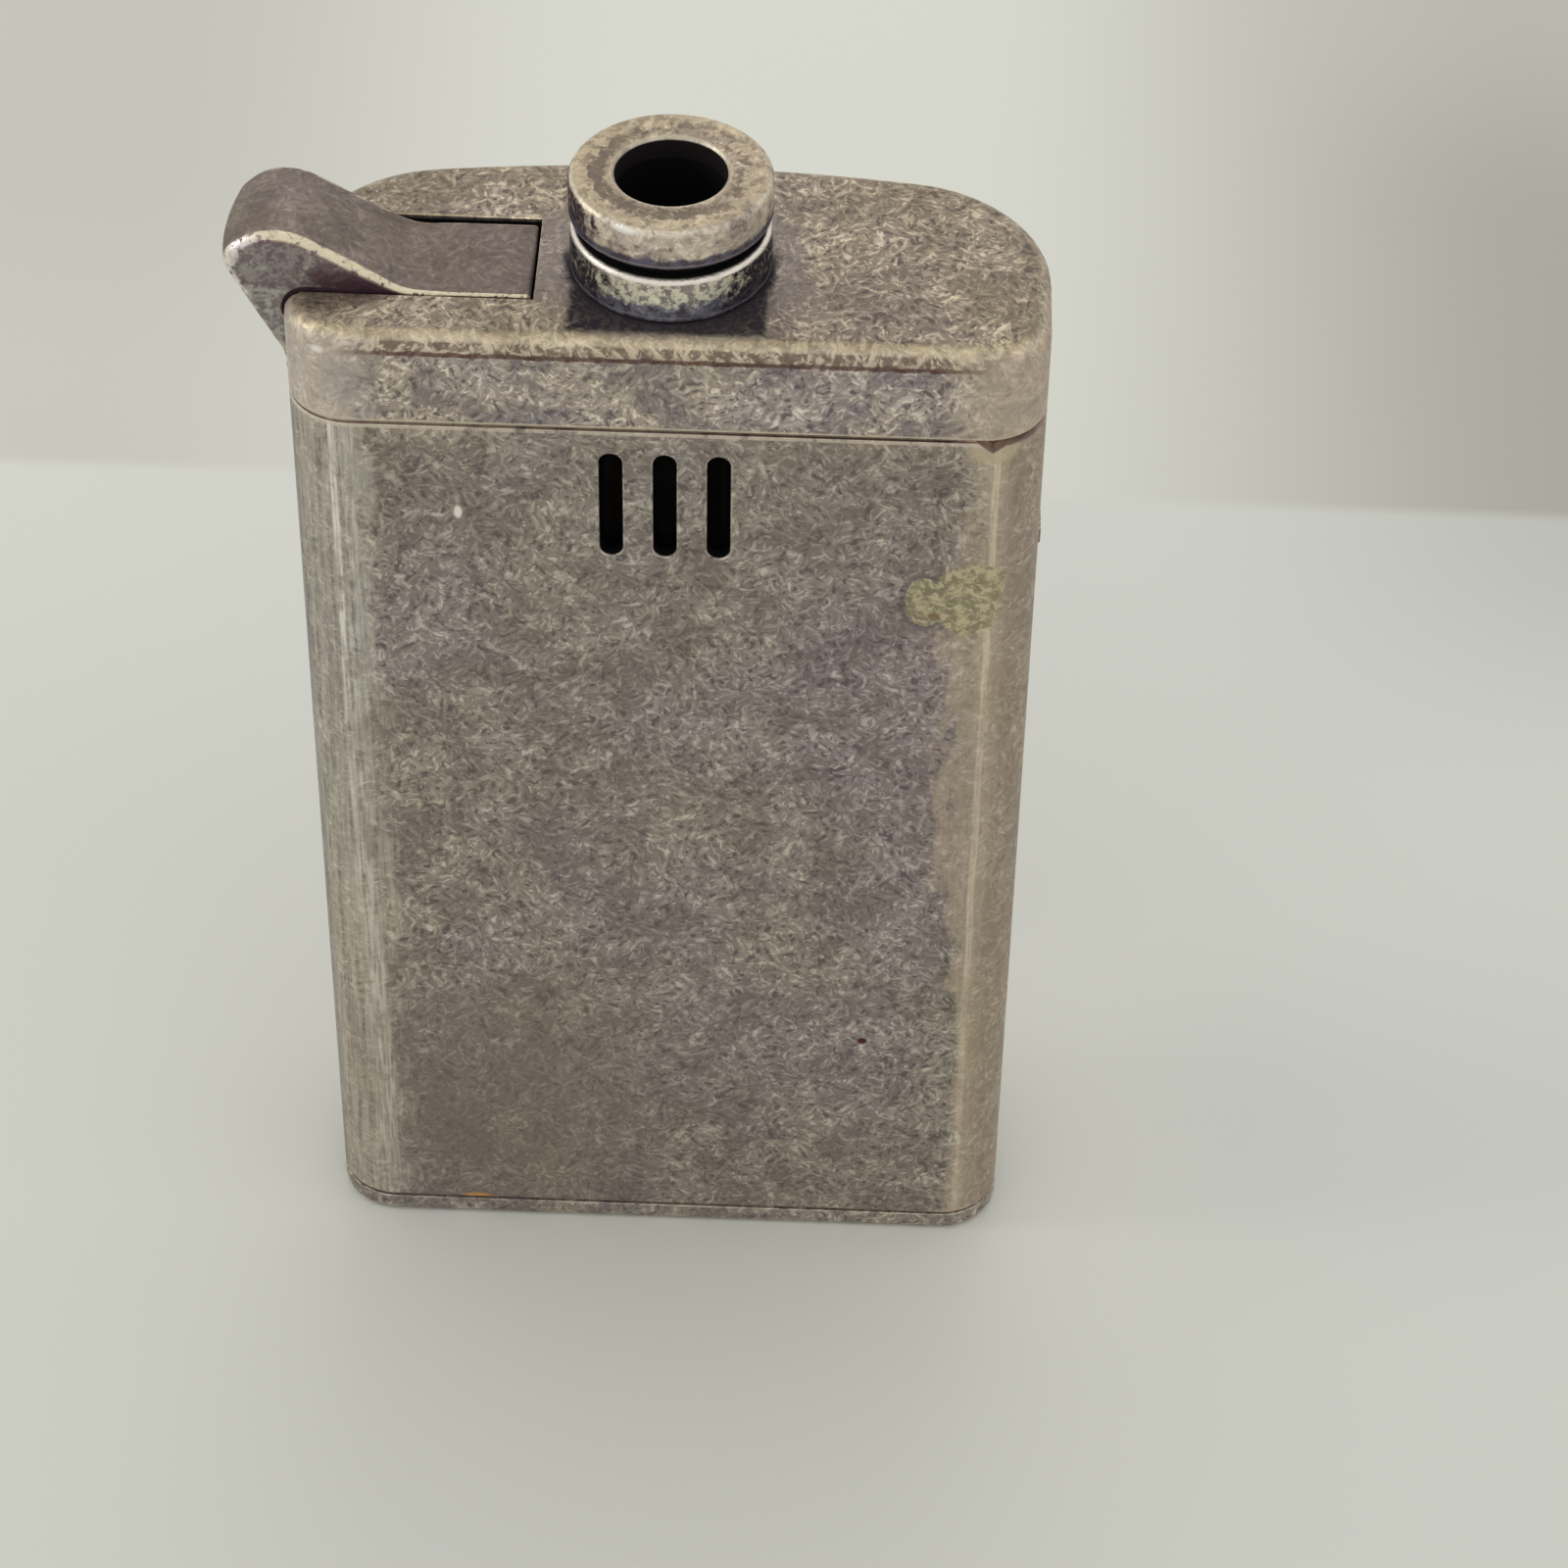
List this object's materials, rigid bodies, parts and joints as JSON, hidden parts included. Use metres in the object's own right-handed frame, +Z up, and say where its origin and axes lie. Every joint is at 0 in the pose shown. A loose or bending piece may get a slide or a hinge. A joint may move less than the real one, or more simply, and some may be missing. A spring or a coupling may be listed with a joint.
{
  "type": "gas lighter",
  "caption": "Slim gas lighter with a flat front, an arched back, air vents, a round flame neck on top and a sprung thumb lever in a slot at the corner.",
  "frame": {"origin": "centre of the base's flat underside, at half the case's width and half its depth", "axes": "+X to the right seen from the flat front, +Y from the flat front to the arched back, +Z up through the flame neck"},
  "size_m": [0.0436, 0.0164, 0.0734],
  "materials": {
    "case_metal": "worn antique silver, satin, with fine scratches",
    "ring_metal": "worn antique silver, satin",
    "collar_metal": "darkened by heat, satin",
    "lever_metal": "worn antique silver, smoother than the case",
    "adjuster_metal": "dark, satin",
    "steel": "plain",
    "spring_steel": "plain wire",
    "screw_steel": "plain",
    "brass": "plain turned",
    "tank_plastic": "smoky",
    "black_plastic": "matt",
    "white_insulator": "smooth, ceramic-like",
    "rubber": "matt",
    "lead_cover": "matt"
  },
  "bodies": {
    "case": {"case_shell": "case_metal", "top_cover": "case_metal", "base_plate": "case_metal", "neck_collar": "collar_metal", "neck_ring": "ring_metal", "wind_guard": "steel", "lever_pin": "steel", "fork_pin": "steel", "inner_frame": "steel", "cover_screws": "screw_steel", "base_screws": "screw_steel", "gas_tank": "tank_plastic", "tank_lid": "tank_plastic", "gas_feed_tube": "brass", "valve_body": "brass", "valve_nut": "brass", "adjuster_cap": "brass", "valve_spring": "spring_steel", "piezo_housing": "black_plastic", "piezo_return_spring": "spring_steel", "impact_spring": "spring_steel", "piezo_anvil": "brass", "piezo_crystal": "white_insulator", "spark_electrode": "steel", "electrode_insulator": "white_insulator", "electrode_lead": "lead_cover", "fill_valve_body": "brass", "fill_valve_spring": "spring_steel"},
    "lever": {"thumb_lever": "lever_metal"},
    "fork": {"gas_fork": "brass"},
    "burner": {"valve_stem": "brass", "valve_seal": "rubber", "burner_nozzle": "brass"},
    "plunger": {"piezo_plunger": "white_insulator"},
    "hammer": {"piezo_hammer": "steel"},
    "refill_stem": {"fill_valve_stem": "brass", "fill_valve_seal": "rubber"},
    "adjuster": {"flame_adjust_lever": "adjuster_metal"}
  },
  "joints": [
    {"name": "lever_press", "type": "hinge", "parent": "case", "child": "lever", "pos_m": [-0.0058, -0.0014, 0.06315], "axis": [0, -1, 0], "range_deg": [0, 14], "stiffness_Nm_per_rad": 0.4, "springref_deg": -5.73},
    {"name": "igniter_press", "type": "slide", "parent": "case", "child": "plunger", "axis": [0, 0, -1], "range_m": [0, 0.0019], "deforming": ["piezo_return_spring", "impact_spring"]},
    {"name": "fork_tilt", "type": "hinge", "parent": "case", "child": "fork", "pos_m": [-0.0044, -0.00115, 0.0571], "axis": [0, -1, 0], "range_deg": [0, 11.5]},
    {"name": "burner_lift", "type": "slide", "parent": "case", "child": "burner", "axis": [0, 0, 1], "range_m": [0, 0.00085], "deforming": ["valve_spring"]},
    {"name": "hammer_strike", "type": "slide", "parent": "case", "child": "hammer", "axis": [0, 0, -1], "range_m": [0, 0.00195], "stiffness_N_per_m": 300},
    {"name": "refill_press", "type": "slide", "parent": "case", "child": "refill_stem", "axis": [0, 0, 1], "range_m": [0, 0.0012], "stiffness_N_per_m": 400, "springref_m": -0.001, "deforming": ["fill_valve_spring"]},
    {"name": "flame_adjust", "type": "hinge", "parent": "case", "child": "adjuster", "pos_m": [0, -0.00115, 0.0499], "axis": [0, 0, 1], "range_deg": [-6, 6]}
  ],
  "couplings": [
    {"joint": "igniter_press", "follows": "lever_press", "m_per_rad": 0.0077},
    {"joint": "fork_tilt", "follows": "lever_press", "ratio": 0.8},
    {"joint": "burner_lift", "follows": "lever_press", "m_per_rad": 0.003438}
  ]
}
